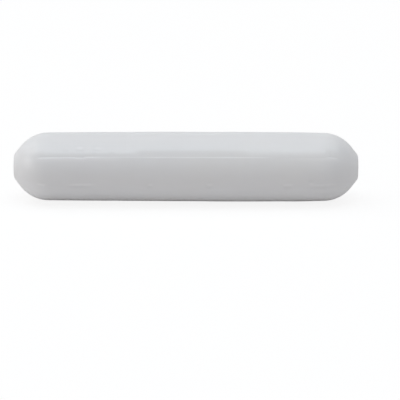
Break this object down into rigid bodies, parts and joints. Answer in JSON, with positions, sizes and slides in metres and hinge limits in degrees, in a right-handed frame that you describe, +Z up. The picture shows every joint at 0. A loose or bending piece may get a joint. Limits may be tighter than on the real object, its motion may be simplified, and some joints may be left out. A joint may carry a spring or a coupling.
{
  "type": "magnetic stir bar",
  "caption": "Smooth white rod with rounded, flat-tipped ends and a sealed magnet inside. It lies in a vessel and a magnetic stirrer spins it to mix the liquid.",
  "frame": {"origin": "middle of the bar, on its axis", "axes": "+X along the bar, +Z up with the bar lying on a surface, -Y towards the side seen from the front"},
  "size_m": [0.04, 0.0082, 0.0082],
  "materials": {
    "ptfe": "smooth moulded, waxy satin",
    "alnico": "cast and ground"
  },
  "bodies": {
    "root": {"ptfe_jacket": "ptfe", "magnet_core": "alnico"}
  },
  "joints": []
}
